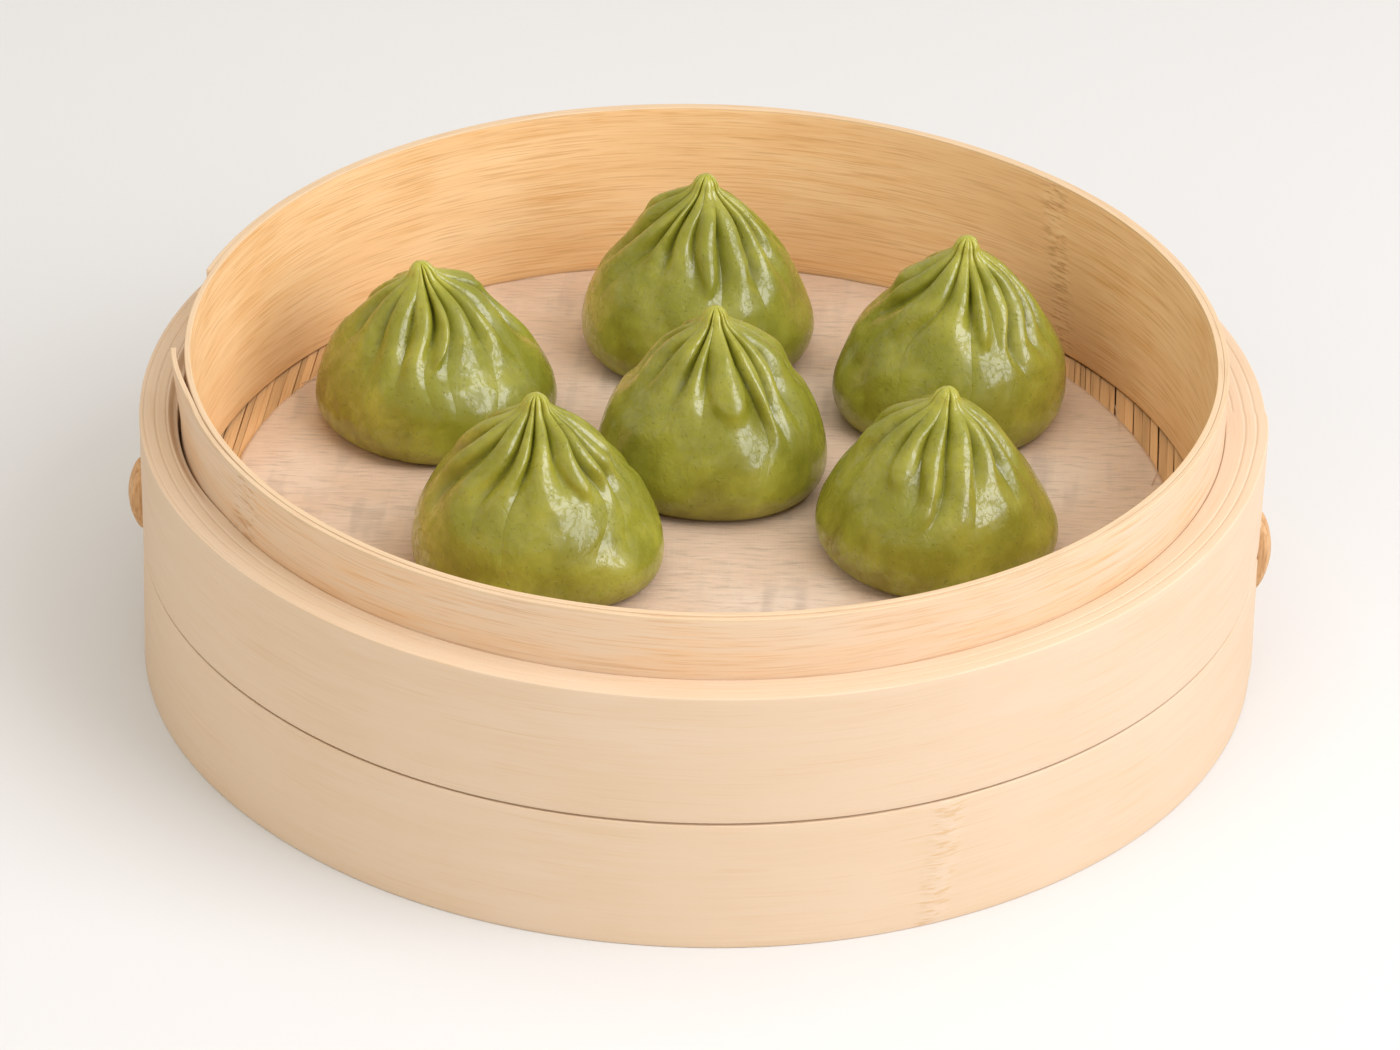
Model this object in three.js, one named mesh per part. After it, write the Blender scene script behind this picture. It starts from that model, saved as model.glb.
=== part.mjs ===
// Six pleated soup dumplings on a cloth liner in an open round bamboo steamer basket.
// Millimetres, +Z up. The origin is the middle of the basket's foot, on the surface it stands on.
// -Y is the front, where the lower wall of the basket is seen from outside.
import * as THREE from 'three';

// ---- driving dimensions -------------------------------------------------------------------------
const OUTER_RADIUS = 105; // outside of the two stacked hoops
const FOOT_RADIUS = 105.5; // the lower hoop spreads a little towards its foot
const HOOP_BORE = 99; // inside of the two hoops
const SEAM_HEIGHT = 25.7; // where the upper hoop sits on the lower one
const SHELF_HEIGHT = 51.5; // top of the upper hoop, on which a second basket stands
const RIM_HEIGHT = 63.8; // top of the lip that fits inside that second basket

const LIP_RADIUS = 98.7; // outside of the lip, front to back
const LIP_OVAL = 0.987; // the lip is this much narrower from side to side
const PLY = 0.95; // thickness of each of the lip's two strips of bamboo
const OUTER_PLY_DROP = 0.4; // the outer strip ends a little below the inner one
const PLY_END_LEFT = -175.5; // angles, in degrees, between which the outer strip runs
const PLY_END_BACK = 166.6;

const FLOOR_TOP = 27.2; // top of the slats
const SLAT_THICKNESS = 2.6;
const SLAT_COUNT = 40;
const SLAT_GAP = 0.5;
const SLAT_TURN = -4.2; // degrees that the slats are turned from front-to-back, about +Z
const SLAT_END_RADIUS = 98.4; // the slats end just inside the hoops, under the lip

const BATTEN_HEIGHT = 3.8; // the two cross bars under the slats
const BATTEN_WIDTH = 12;
const BATTEN_SPREAD = 88; // between the two bars' middles
const LEDGE_HEIGHT = 7.4; // the ring inside the lower hoop that carries the bars
const LEDGE_RADIUS = 98.7;
const LEDGE_BORE = 94.6;

const LINER_THICKNESS = 0.4;
const LINER_RADIUS = 89.3; // at the sides and the front
const LINER_BACK_RADIUS = 95.5; // it reaches the wall at the back

const LASHING_WIDTH = 7; // round the hoop
const LASHING_BULGE = 2.1; // how far the lashing stands out from its foot
const LASHINGS = [
  { name: 'lashing_left', angle: 183, low: 22.5, high: 38.5 },
  { name: 'lashing_right', angle: -4, low: 17, high: 34.5 },
];

const GAP = 0.3; // clearance left between neighbouring pieces
const RING_SEGMENTS = 64;
const EDGE = 0.5; // chamfer on the hoops' edges

// Each dumpling: middle of its foot, widest radius, height to the tip, how far the tip leans
// sideways, number of pleats, turn of the first pleat and the side on which the skin flares out.
const DUMPLINGS = [
  { name: 'dumpling_back', x: -2.3, y: 62.4, radius: 22.4, height: 37.9, lean: 1.8, pleats: 17, turn: 5, flare: -12 },
  { name: 'dumpling_left', x: -51.9, y: 32, radius: 23.2, height: 33.2, lean: -2.9, pleats: 15, turn: 0, flare: 5 },
  { name: 'dumpling_centre', x: 2.2, y: 12.3, radius: 22.2, height: 35.8, lean: -0.4, pleats: 16, turn: 9, flare: 200 },
  { name: 'dumpling_right', x: 48.7, y: 38.9, radius: 22.2, height: 38.1, lean: 1.3, pleats: 16, turn: 3, flare: 195 },
  { name: 'dumpling_front_left', x: -31.2, y: -22.1, radius: 23.4, height: 35.5, lean: 0.7, pleats: 17, turn: 7, flare: -15 },
  { name: 'dumpling_front_right', x: 43, y: -13.2, radius: 22.1, height: 34, lean: 2, pleats: 15, turn: 2, flare: -8 },
];
const BELLY = 0.15; // share of a dumpling's height at which it is widest
const FOOT_RATIO = 0.72; // radius of its flat foot, of its widest radius
const SHOULDER = 1.75; // how full the shoulders are
const PINCH = 0.3; // how far the neck under the nib is drawn in
const NIB_RADIUS = 1.7; // the twisted tip
const NIB_HEIGHT = 2.2;
const PLEAT_DEPTH = 1.1; // crest to crease, where the pleats are deepest
const PLEAT_START = 0.3; // share of the height at which the pleats begin to show
const PLEAT_FULL = 0.65; // and at which they are full
const SWIRL = 0.35; // radians that the pleats turn on their way to the tip
const FLARE = 0.045; // share of the radius that the skin flares out on its flared side
const LEVELS = 14;

// ---- materials ----------------------------------------------------------------------------------
const bamboo = (colour) => new THREE.MeshStandardMaterial({ color: colour, roughness: 0.6, metalness: 0 });
const PALE_BAMBOO = bamboo(0xf3d7ad);
const INNER_BAMBOO = bamboo(0xe2b67c);
const SLAT_BAMBOO = bamboo(0xd9a869);
const RATTAN = bamboo(0xb98a58);
const CLOTH = new THREE.MeshStandardMaterial({ color: 0xe3c9ae, roughness: 0.95, metalness: 0 });
const DOUGH = new THREE.MeshStandardMaterial({ color: 0x8f9a37, roughness: 0.3, metalness: 0 });

// ---- helpers ------------------------------------------------------------------------------------
const radians = THREE.MathUtils.degToRad;
const smoothstep = THREE.MathUtils.smoothstep;

function addMesh(parent, name, geometry, material) {
  const mesh = new THREE.Mesh(geometry, material.clone());
  mesh.name = name;
  parent.add(mesh);
  return mesh;
}

// A ring turned about +Z from a closed outline of [radius, height] points.
function ring(outline) {
  const points = [...outline, outline[0]].map(([radius, height]) => new THREE.Vector2(radius, height));
  const geometry = new THREE.LatheGeometry(points, RING_SEGMENTS);
  return geometry.rotateX(Math.PI / 2);
}

// A flat shape pushed upwards from the height low to the height high.
function slab(shape, low, high, curveSegments = 8) {
  const geometry = new THREE.ExtrudeGeometry(shape, { depth: high - low, bevelEnabled: false, curveSegments });
  return geometry.translate(0, 0, low);
}

// ---- basket -------------------------------------------------------------------------------------
function lowerHoop() {
  const top = SEAM_HEIGHT - GAP / 2;
  return ring([
    [HOOP_BORE, 0],
    [FOOT_RADIUS - EDGE, 0],
    [FOOT_RADIUS, EDGE],
    [OUTER_RADIUS, top - EDGE],
    [OUTER_RADIUS - EDGE, top],
    [HOOP_BORE, top],
  ]);
}

function upperHoop() {
  const bottom = SEAM_HEIGHT + GAP / 2;
  return ring([
    [HOOP_BORE, bottom],
    [OUTER_RADIUS - EDGE, bottom],
    [OUTER_RADIUS, bottom + EDGE],
    [OUTER_RADIUS, SHELF_HEIGHT - EDGE],
    [OUTER_RADIUS - EDGE, SHELF_HEIGHT],
    [HOOP_BORE, SHELF_HEIGHT],
  ]);
}

// The lip's inner strip is a whole ring that stands on the slats.
function innerPly() {
  const outside = LIP_RADIUS - PLY - GAP;
  const inside = outside - PLY;
  const bottom = FLOOR_TOP + GAP;
  const geometry = ring([
    [inside, bottom],
    [outside, bottom],
    [outside, RIM_HEIGHT - EDGE / 2],
    [outside - EDGE / 2, RIM_HEIGHT],
    [inside, RIM_HEIGHT],
  ]);
  return geometry.scale(LIP_OVAL, 1, 1);
}

// The outer strip is wrapped round it and leaves a stretch open on the left, between its two ends.
function outerPly() {
  const shape = new THREE.Shape();
  const start = radians(PLY_END_LEFT);
  const end = radians(PLY_END_BACK);
  shape.absarc(0, 0, LIP_RADIUS, start, end, false);
  shape.absarc(0, 0, LIP_RADIUS - PLY, end, start, true);
  shape.closePath();
  const geometry = slab(shape, FLOOR_TOP + GAP, RIM_HEIGHT - OUTER_PLY_DROP, RING_SEGMENTS);
  return geometry.scale(LIP_OVAL, 1, 1);
}

function ledge() {
  const top = FLOOR_TOP - SLAT_THICKNESS - BATTEN_HEIGHT - 2 * GAP;
  const bottom = top - LEDGE_HEIGHT;
  return ring([
    [LEDGE_BORE, bottom],
    [LEDGE_RADIUS, bottom],
    [LEDGE_RADIUS, top],
    [LEDGE_BORE, top],
  ]);
}

// A bar of the given width across a disc, its ends cut to the disc's edge and split by its sides.
function chord(radius, offset, width, low, high) {
  const near = offset - width / 2;
  const far = offset + width / 2;
  const nearEnd = Math.sqrt(radius ** 2 - near ** 2);
  const farEnd = Math.sqrt(radius ** 2 - far ** 2);
  const shape = new THREE.Shape([
    new THREE.Vector2(near, -nearEnd),
    new THREE.Vector2(far, -farEnd),
    new THREE.Vector2(far, farEnd),
    new THREE.Vector2(near, nearEnd),
  ]);
  return slab(shape, low, high);
}

function addFloor(parent) {
  const floor = new THREE.Group();
  floor.rotation.z = radians(SLAT_TURN);
  parent.add(floor);
  const pitch = (2 * SLAT_END_RADIUS) / SLAT_COUNT;
  const low = FLOOR_TOP - SLAT_THICKNESS;
  const inset = SLAT_GAP / 2;
  for (let i = 0; i < SLAT_COUNT; i += 1) {
    const offset = (i + 0.5 - SLAT_COUNT / 2) * pitch;
    const number = String(i + 1).padStart(2, '0');
    const geometry = chord(SLAT_END_RADIUS + inset, offset, pitch - SLAT_GAP, low, FLOOR_TOP);
    addMesh(floor, `slat_${number}`, geometry, SLAT_BAMBOO);
  }
  const barTop = low - GAP;
  for (const side of [-1, 1]) {
    const geometry = chord(LEDGE_RADIUS, (side * BATTEN_SPREAD) / 2, BATTEN_WIDTH, barTop - BATTEN_HEIGHT, barTop);
    const name = side < 0 ? 'batten_front' : 'batten_back';
    addMesh(floor, name, geometry.rotateZ(Math.PI / 2), SLAT_BAMBOO);
  }
}

// The liner's edge runs out to the wall at the back and stays short of it elsewhere.
function liner() {
  const shape = new THREE.Shape();
  for (let i = 0; i < RING_SEGMENTS; i += 1) {
    const angle = (2 * Math.PI * i) / RING_SEGMENTS;
    const backward = smoothstep(Math.sin(angle), 0.6, 0.9);
    const radius = LINER_RADIUS + (LINER_BACK_RADIUS - LINER_RADIUS) * backward;
    const point = [radius * Math.cos(angle), radius * Math.sin(angle)];
    if (i === 0) {
      shape.moveTo(...point);
    } else {
      shape.lineTo(...point);
    }
  }
  shape.closePath();
  const low = FLOOR_TOP + GAP;
  return slab(shape, low, low + LINER_THICKNESS);
}

// A lashing is a bow of cane: flat against the hoop, arched outwards, upright.
function lashing(low, high) {
  const half = (high - low) / 2;
  const foot = FOOT_RADIUS + GAP;
  const bow = new THREE.Shape();
  bow.moveTo(foot, -half);
  bow.quadraticCurveTo(foot + 2 * LASHING_BULGE, 0, foot, half);
  bow.closePath();
  const geometry = new THREE.ExtrudeGeometry(bow, { depth: LASHING_WIDTH, bevelEnabled: false, curveSegments: 12 });
  geometry.translate(0, 0, -LASHING_WIDTH / 2);
  geometry.rotateX(Math.PI / 2);
  return geometry.translate(0, 0, (low + high) / 2);
}

// ---- dumplings ----------------------------------------------------------------------------------
// Radius of the smooth body at a share of the height, as a share of the widest radius: a rounded
// foot, full shoulders, and a neck drawn in under the nib.
function bodyRadius(level) {
  if (level < BELLY) {
    const drop = 1 - level / BELLY;
    return FOOT_RATIO + (1 - FOOT_RATIO) * Math.sqrt(1 - drop ** 2);
  }
  const rise = (level - BELLY) / (1 - BELLY);
  const neck = Math.exp(-(((1 - rise) / 0.09) ** 2));
  return (1 - rise ** SHOULDER) * (1 - PINCH * neck);
}

// Radius of the skin at a level and pleat side (+1 on a crest, -1 in a crease), in millimetres.
function skinRadius(dumpling, level, side, angle) {
  const nibLevel = (level - 1) * (dumpling.height / NIB_HEIGHT) + 1;
  const nib = NIB_RADIUS * Math.sqrt(1 - Math.max(nibLevel, 0) ** 2);
  const body = Math.max(bodyRadius(level) * dumpling.radius, nib);
  const strength = smoothstep(level, PLEAT_START, PLEAT_FULL);
  const depth = Math.min(PLEAT_DEPTH, 0.3 * body) * strength;
  const away = Math.cos(angle - radians(dumpling.flare));
  const flare = FLARE * Math.max(away, 0) ** 4 * (1 - smoothstep(level, 0.1, 0.5));
  return body * (1 + flare) + (side * depth) / 2;
}

// A closed skin of rings from the foot to the tip, with two columns of points for each pleat.
function dumplingSkin(dumpling) {
  const columns = 2 * dumpling.pleats;
  const positions = [0, 0, 0];
  for (let i = 0; i < LEVELS; i += 1) {
    const level = 0.985 * (i / (LEVELS - 1)) ** 1.05;
    for (let j = 0; j < columns; j += 1) {
      const angle = (2 * Math.PI * j) / columns + radians(dumpling.turn) + SWIRL * level;
      const radius = skinRadius(dumpling, level, j % 2 ? 1 : -1, angle);
      const lean = dumpling.lean * level ** 2;
      positions.push(radius * Math.cos(angle) + lean, radius * Math.sin(angle), level * dumpling.height);
    }
  }
  positions.push(dumpling.lean, 0, dumpling.height);
  const tip = positions.length / 3 - 1;
  const vertex = (i, j) => 1 + i * columns + (j % columns);
  const faces = [];
  for (let j = 0; j < columns; j += 1) {
    faces.push(0, vertex(0, j + 1), vertex(0, j));
    for (let i = 0; i < LEVELS - 1; i += 1) {
      faces.push(vertex(i, j), vertex(i, j + 1), vertex(i + 1, j + 1));
      faces.push(vertex(i, j), vertex(i + 1, j + 1), vertex(i + 1, j));
    }
    faces.push(vertex(LEVELS - 1, j), vertex(LEVELS - 1, j + 1), tip);
  }
  const geometry = new THREE.BufferGeometry();
  geometry.setAttribute('position', new THREE.Float32BufferAttribute(positions, 3));
  geometry.setIndex(faces);
  return geometry;
}

function addDumplings(parent) {
  const foot = FLOOR_TOP + LINER_THICKNESS + 2 * GAP;
  for (const dumpling of DUMPLINGS) {
    const mesh = addMesh(parent, dumpling.name, dumplingSkin(dumpling), DOUGH);
    mesh.position.set(dumpling.x, dumpling.y, foot);
  }
}

// ---- the whole ----------------------------------------------------------------------------------
const group = new THREE.Group();
addMesh(group, 'lower_hoop', lowerHoop(), PALE_BAMBOO);
addMesh(group, 'upper_hoop', upperHoop(), PALE_BAMBOO);
addMesh(group, 'inner_ply', innerPly(), INNER_BAMBOO);
addMesh(group, 'outer_ply', outerPly(), PALE_BAMBOO);
addMesh(group, 'ledge_ring', ledge(), SLAT_BAMBOO);
addFloor(group);
addMesh(group, 'liner', liner(), CLOTH);
for (const { name, angle, low, high } of LASHINGS) {
  const mesh = addMesh(group, name, lashing(low, high), RATTAN);
  mesh.rotation.z = radians(angle);
}
addDumplings(group);

export default group;
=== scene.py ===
"""Looks of six pleated soup dumplings on a cloth liner in an open round bamboo steamer basket.

Metres, +Z up. The origin is the middle of the basket's foot and -Y is the front.
"""

import math

import bpy
import numpy as np
from bpy.props import FloatProperty, FloatVectorProperty, PointerProperty
from mathutils import Matrix, Vector


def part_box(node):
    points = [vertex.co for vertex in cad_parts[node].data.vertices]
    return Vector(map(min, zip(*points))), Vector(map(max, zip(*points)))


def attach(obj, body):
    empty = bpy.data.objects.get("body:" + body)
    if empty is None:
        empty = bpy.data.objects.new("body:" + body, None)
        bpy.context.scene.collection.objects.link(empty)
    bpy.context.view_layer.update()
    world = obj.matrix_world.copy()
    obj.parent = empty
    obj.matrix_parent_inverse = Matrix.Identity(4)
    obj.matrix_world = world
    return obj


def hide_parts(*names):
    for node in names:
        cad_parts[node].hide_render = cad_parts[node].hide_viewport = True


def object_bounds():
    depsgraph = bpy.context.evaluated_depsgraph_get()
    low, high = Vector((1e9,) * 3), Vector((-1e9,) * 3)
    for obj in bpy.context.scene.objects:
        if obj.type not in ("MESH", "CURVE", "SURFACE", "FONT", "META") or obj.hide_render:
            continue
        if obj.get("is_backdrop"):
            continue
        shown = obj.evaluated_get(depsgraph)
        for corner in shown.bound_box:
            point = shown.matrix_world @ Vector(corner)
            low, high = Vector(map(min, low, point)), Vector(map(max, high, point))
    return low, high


bl_info = {
    "name": "Soup dumplings in a steamer basket",
    "version": (1, 0, 0),
    "blender": (4, 5, 0),
    "location": "3D View > Sidebar > Dumplings",
    "description": "Builds six pleated soup dumplings on a cloth in a round bamboo steamer basket",
    "category": "Add Mesh",
}

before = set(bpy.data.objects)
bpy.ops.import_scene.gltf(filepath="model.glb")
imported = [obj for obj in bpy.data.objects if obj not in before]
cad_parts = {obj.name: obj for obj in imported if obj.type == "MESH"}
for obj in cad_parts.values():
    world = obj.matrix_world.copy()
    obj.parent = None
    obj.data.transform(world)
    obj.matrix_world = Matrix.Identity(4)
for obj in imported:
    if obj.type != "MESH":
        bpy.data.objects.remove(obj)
CAD_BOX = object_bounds()
BODY = "root"
MM = 0.001
TURN = 2 * math.pi


# ---- sizes and colours that a user would change ------------
def length(name, description, default, **limits):
    """A property that holds a length in metres."""
    return FloatProperty(name=name, description=description, default=default, unit="LENGTH",
                         subtype="DISTANCE", precision=5, **limits)


def colour(name, description, red, green, blue):
    """A property that holds a scene-linear colour."""
    return FloatVectorProperty(name=name, description=description, default=(red, green, blue),
                               subtype="COLOR", size=3, min=0, max=1)


def slant(name, description, default):
    """A property that holds an angle in radians."""
    return FloatProperty(name=name, description=description, default=default, subtype="ANGLE",
                         unit="ROTATION")


def watts(name, description, default):
    """A property that holds the power of a light."""
    return FloatProperty(name=name, description=description, default=default, unit="POWER", min=0)


class BasketSettings(bpy.types.PropertyGroup):
    """Sizes and colours of the bamboo basket."""
    edge: length("Edge", "Rounding of the hoops' edges", 0.25 * MM)
    ply_edge: length("Strip edge", "Rounding of the lip's thin strips", 0.16 * MM)
    wander: length("Wander", "How far the walls wander from a true round", 0.28 * MM)
    winding: length("Winding", "Thickness of the strip that a hoop is wound from", 2.05 * MM)
    winding_groove: length("Winding groove", "Depth of the line between two windings", 0.22 * MM)
    splay: length("Splay", "How far the cut end of the lip's outer strip stands off", 1.5 * MM)
    splint_least: length("Narrowest splint", "Width of the narrowest floor splint", 0.9 * MM)
    splint_most: length("Widest splint", "Width of the widest floor splint", 2.1 * MM)
    splint_gap: length("Splint gap", "Usual gap between two floor splints", 0.05 * MM)
    pale: colour("Pale bamboo", "Bamboo of the outside walls", 0.69, 0.535, 0.385)
    warm: colour("Warm bamboo", "Darker, yellower bamboo of the outside walls", 0.64, 0.45, 0.265)
    inner_pale: colour("Inner pale", "Light streaks of the inner wall", 0.93, 0.65, 0.355)
    inner_warm: colour("Inner warm", "Dark streaks of the inner wall", 0.78, 0.42, 0.15)
    rim: colour("Rim", "Sawn top edge of the lip", 0.66, 0.49, 0.31)
    streak: colour("Streak", "Brown fibres and marks", 0.42, 0.21, 0.08)
    honey: colour("Honey", "Golden fibres of the outside walls", 0.58, 0.35, 0.15)
    splint: colour("Splint", "Floor splints", 0.80, 0.50, 0.24)
    cane: colour("Cane", "Cane lashings", 0.68, 0.43, 0.22)


class LinerSettings(bpy.types.PropertyGroup):
    """Sizes and colours of the cloth liner."""
    fray: length("Fray", "How far the cut edge strays", 0.35 * MM)
    wrinkle: length("Wrinkle", "Height of the cloth's fine wrinkles", 0.07 * MM)
    cloth: colour("Cloth", "Cloth over the splints", 0.65, 0.475, 0.338)
    # Shade is painted shade: the cloth darkened over the floor's gaps and in the hollows of its folds.
    shade: colour("Shade", "Cloth over the gaps between splints", 0.38, 0.30, 0.235)


class DumplingSettings(bpy.types.PropertyGroup):
    """Sizes and colours of the dumplings."""
    crest: length("Crest", "Height of a usual pleat", 1.2 * MM)
    crease: length("Crease", "Depth of a usual crease", 1.9 * MM)
    flap: length("Flap", "Height of a pleat that ends in a flap", 0.7 * MM)
    nib_radius: length("Nib radius", "Radius of the twisted tip", 2.2 * MM)
    nib_height: length("Nib height", "Height of the twisted tip", 2.4 * MM)
    bulge: length("Bulge", "Height of the soft bulges in the sides", 0.85 * MM)
    step: length("Step", "Height of the small steps in the shoulders", 0.7 * MM)
    swirl: slant("Swirl", "Turn of the pleats from foot to tip", 0.45)
    skin: colour("Skin", "Green dough", 0.214, 0.216, 0.014)
    # Light skin is the thinner dough in the mottling, and low on the body it is also painted light.
    light: colour("Light skin", "Thin, lighter dough", 0.400, 0.386, 0.048)
    # Brown skin is brownish dough laid low on the side away from the key light, so it is partly painted
    # shade.
    brown: colour("Brown skin", "Brownish dough low on the sides", 0.185, 0.135, 0.008)
    # Deep skin is painted shade: it darkens the creases and the foot of each dumpling.
    deep: colour("Deep skin", "Dough inside the creases", 0.100, 0.098, 0.005)
    nib: colour("Nib", "Dough at the tip", 0.400, 0.390, 0.055)


class StageSettings(bpy.types.PropertyGroup):
    """The floor, the light and the camera."""
    floor: colour("Floor", "Pale floor", 0.68, 0.68, 0.67)
    room: FloatProperty(name="Room", description="Strength of the even light", default=0.56, min=0)
    key: watts("Key", "Power of the soft light on the right", 14.2)
    fill: watts("Fill", "Power of the low soft light in front", 4.9)
    top: watts("Top", "Power of the soft light overhead", 5.6)
    back: length("Camera back", "How far in front of the origin the camera stands", 0.8842)
    up: length("Camera up", "How high above the origin the camera stands", 0.5503)
    pitch: slant("Pitch", "How far the camera looks down", math.radians(30.79))
    roll: slant("Roll", "How far the camera is rolled", math.radians(1.46))
    lens: FloatProperty(name="Lens", description="Focal length in millimetres", default=139.5)


# ---- sizes worked out from the CAD parts, and small helpers ---
def smoothstep(value, low, high):
    """0 below low, 1 above high and a smooth S between, or the other way round if high is lower."""
    part = np.clip((value - low) / (high - low), 0, 1)
    return part * part * (3 - 2 * part)


def bell(value, width, power=2):
    """1 at zero, falling away on both sides over the width."""
    return np.exp(-(np.abs(value / width) ** power))


def node_points(node):
    """The corner points of a CAD node's mesh, each once."""
    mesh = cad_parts[node].data
    flat = np.empty(3 * len(mesh.vertices))
    mesh.vertices.foreach_get("co", flat)
    return np.unique(flat.reshape(-1, 3).round(7), axis=0)


def ring_size(node):
    """Inner radius, outer radius, bottom and top of a ring-shaped CAD node, front to back."""
    points = node_points(node)
    low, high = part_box(node)
    squashed = (high.x - low.x) / (high.y - low.y) if node == "inner_ply" else 1.0
    radii = np.hypot(points[:, 0] / squashed, points[:, 1])
    return radii.min(), high.y, low.z, high.z


def lip_size():
    """Inner radius, outer radius, bottom and top of the lip's inner strip, and how oval it is."""
    size = ring_size("inner_ply")
    return *size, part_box("inner_ply")[1].x / size[1]


def angles(count):
    """A column of angles round the axis."""
    return np.linspace(0, TURN, count, endpoint=False)[:, None]


def waves(angle, seed, lowest, highest):
    """A smooth closed curve over the angle, about 1 high: a sum of cosines, the slow ones largest."""
    rng = np.random.default_rng(seed)
    turns = np.arange(lowest, highest + 1)
    phases = rng.uniform(0, TURN, len(turns))
    sizes = rng.uniform(0.5, 1, len(turns)) * (lowest / turns) ** 0.7
    return (sizes * np.cos(np.multiply.outer(angle, turns) + phases)).sum(-1) / sizes.sum() * 1.6


def turn_between(angle, other):
    """The turn from the other angle to this one, between minus and plus half a turn."""
    return np.mod(angle - other + math.pi, TURN) - math.pi


# ---- meshes from arrays ------------
def add_object(name, data):
    """A new object of the scene, at the origin and unturned."""
    made = bpy.data.objects.new(name, data)
    bpy.context.scene.collection.objects.link(made)
    return made


def add_piece(name, points, polygons, replaced, slot, material, attributes=None):
    """Adds a mesh piece that rides on the basket, stands for CAD nodes and takes its material. The slot is
    not used.
    """
    mesh = bpy.data.meshes.new(name)
    mesh.from_pydata(points, [], [side for part in polygons for side in part.tolist()])
    mesh.shade_smooth()
    for title, values in (attributes or {}).items():
        layer = mesh.attributes.new(title, "FLOAT", "POINT")
        layer.data.foreach_set("value", np.ascontiguousarray(values, dtype=np.float32).ravel())
    mesh.materials.append(material)
    piece = add_object(name, mesh)
    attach(piece, BODY)
    if replaced:
        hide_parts(*replaced)
    return piece


def lattice(count, steps, closed_count, closed_steps=False):
    """Quads of a grid of count by steps points, facing along the cross product of its directions."""
    i = np.arange(count if closed_count else count - 1)[:, None]
    j = np.arange(steps if closed_steps else steps - 1)[None, :]
    i_next, j_next = (i + 1) % count, (j + 1) % steps
    quads = [i * steps + j, i_next * steps + j, i_next * steps + j_next, i * steps + j_next]
    return np.stack(np.broadcast_arrays(*quads), -1).reshape(-1, 4)


def closed_skin(grid):
    """Points and polygons of a grid of (columns, rows) points round an axis, with a pole at each end."""
    columns, rows = grid.shape[:2]
    points = np.concatenate([grid.reshape(-1, 3), grid[:, [0, -1]].mean(0)])
    here = np.arange(columns) * rows
    there = np.roll(here, -1)
    bottom = np.full(columns, columns * rows)
    start = np.stack([bottom, there, here], -1)
    end = np.stack([here + rows - 1, there + rows - 1, bottom + 1], -1)
    return points, [lattice(columns, rows, True), start, end]


def add_ring(name, grid, *says):
    """Adds a closed ring: a grid of points round the axis by points round the section."""
    return add_piece(name, grid.reshape(-1, 3), [lattice(*grid.shape[:2], True, True)], *says)


def add_bars(name, grid, *says):
    """Adds several open bars: a grid of bars by points along them by points round the section."""
    return add_piece(name, grid.reshape(-1, 3), bar_polygons(*grid.shape[:3]), *says)


def rounded_outline(edge, across, upright, corner=5):
    """Outline of a rounded bar, as shares of its width and height and offsets in metres.

    It runs up the outer side, inwards over the top, down the inner side and back along the bottom.
    Each corner is a quarter round of radius edge between straight sides of the given steps.
    """
    quarter = np.linspace(0, math.pi / 2, corner)
    arcs, sides = [], []
    for wide, high, turn in [(1, 0, -0.25), (1, 1, 0), (0, 1, 0.25), (0, 0, 0.5)]:
        angle = quarter + turn * TURN
        shares = np.full(corner, wide), np.full(corner, high)
        offsets = edge * (1 - 2 * wide + np.cos(angle)), edge * (1 - 2 * high + np.sin(angle))
        arcs.append(np.stack([*shares, *offsets], -1))
    for k, steps in enumerate([upright, across, upright, across]):
        part = np.linspace(0, 1, steps + 1)[1:-1, None]
        sides.append(arcs[k][-1] * (1 - part) + arcs[(k + 1) % 4][0] * part)
    return np.concatenate([run for pair in zip(arcs, sides) for run in pair]).T


def bar_polygons(bars, steps, ring):
    """Polygons of several open bars of steps by ring points each, with flat ends."""
    first = np.arange(bars)[:, None] * steps * ring
    sides = lattice(steps, ring, False, True)
    start, end = np.arange(ring), (steps - 1) * ring + np.arange(ring)[::-1]
    return [(sides[None] + first[:, :, None]).reshape(-1, 4), start[None] + first, end[None] + first]


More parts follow.
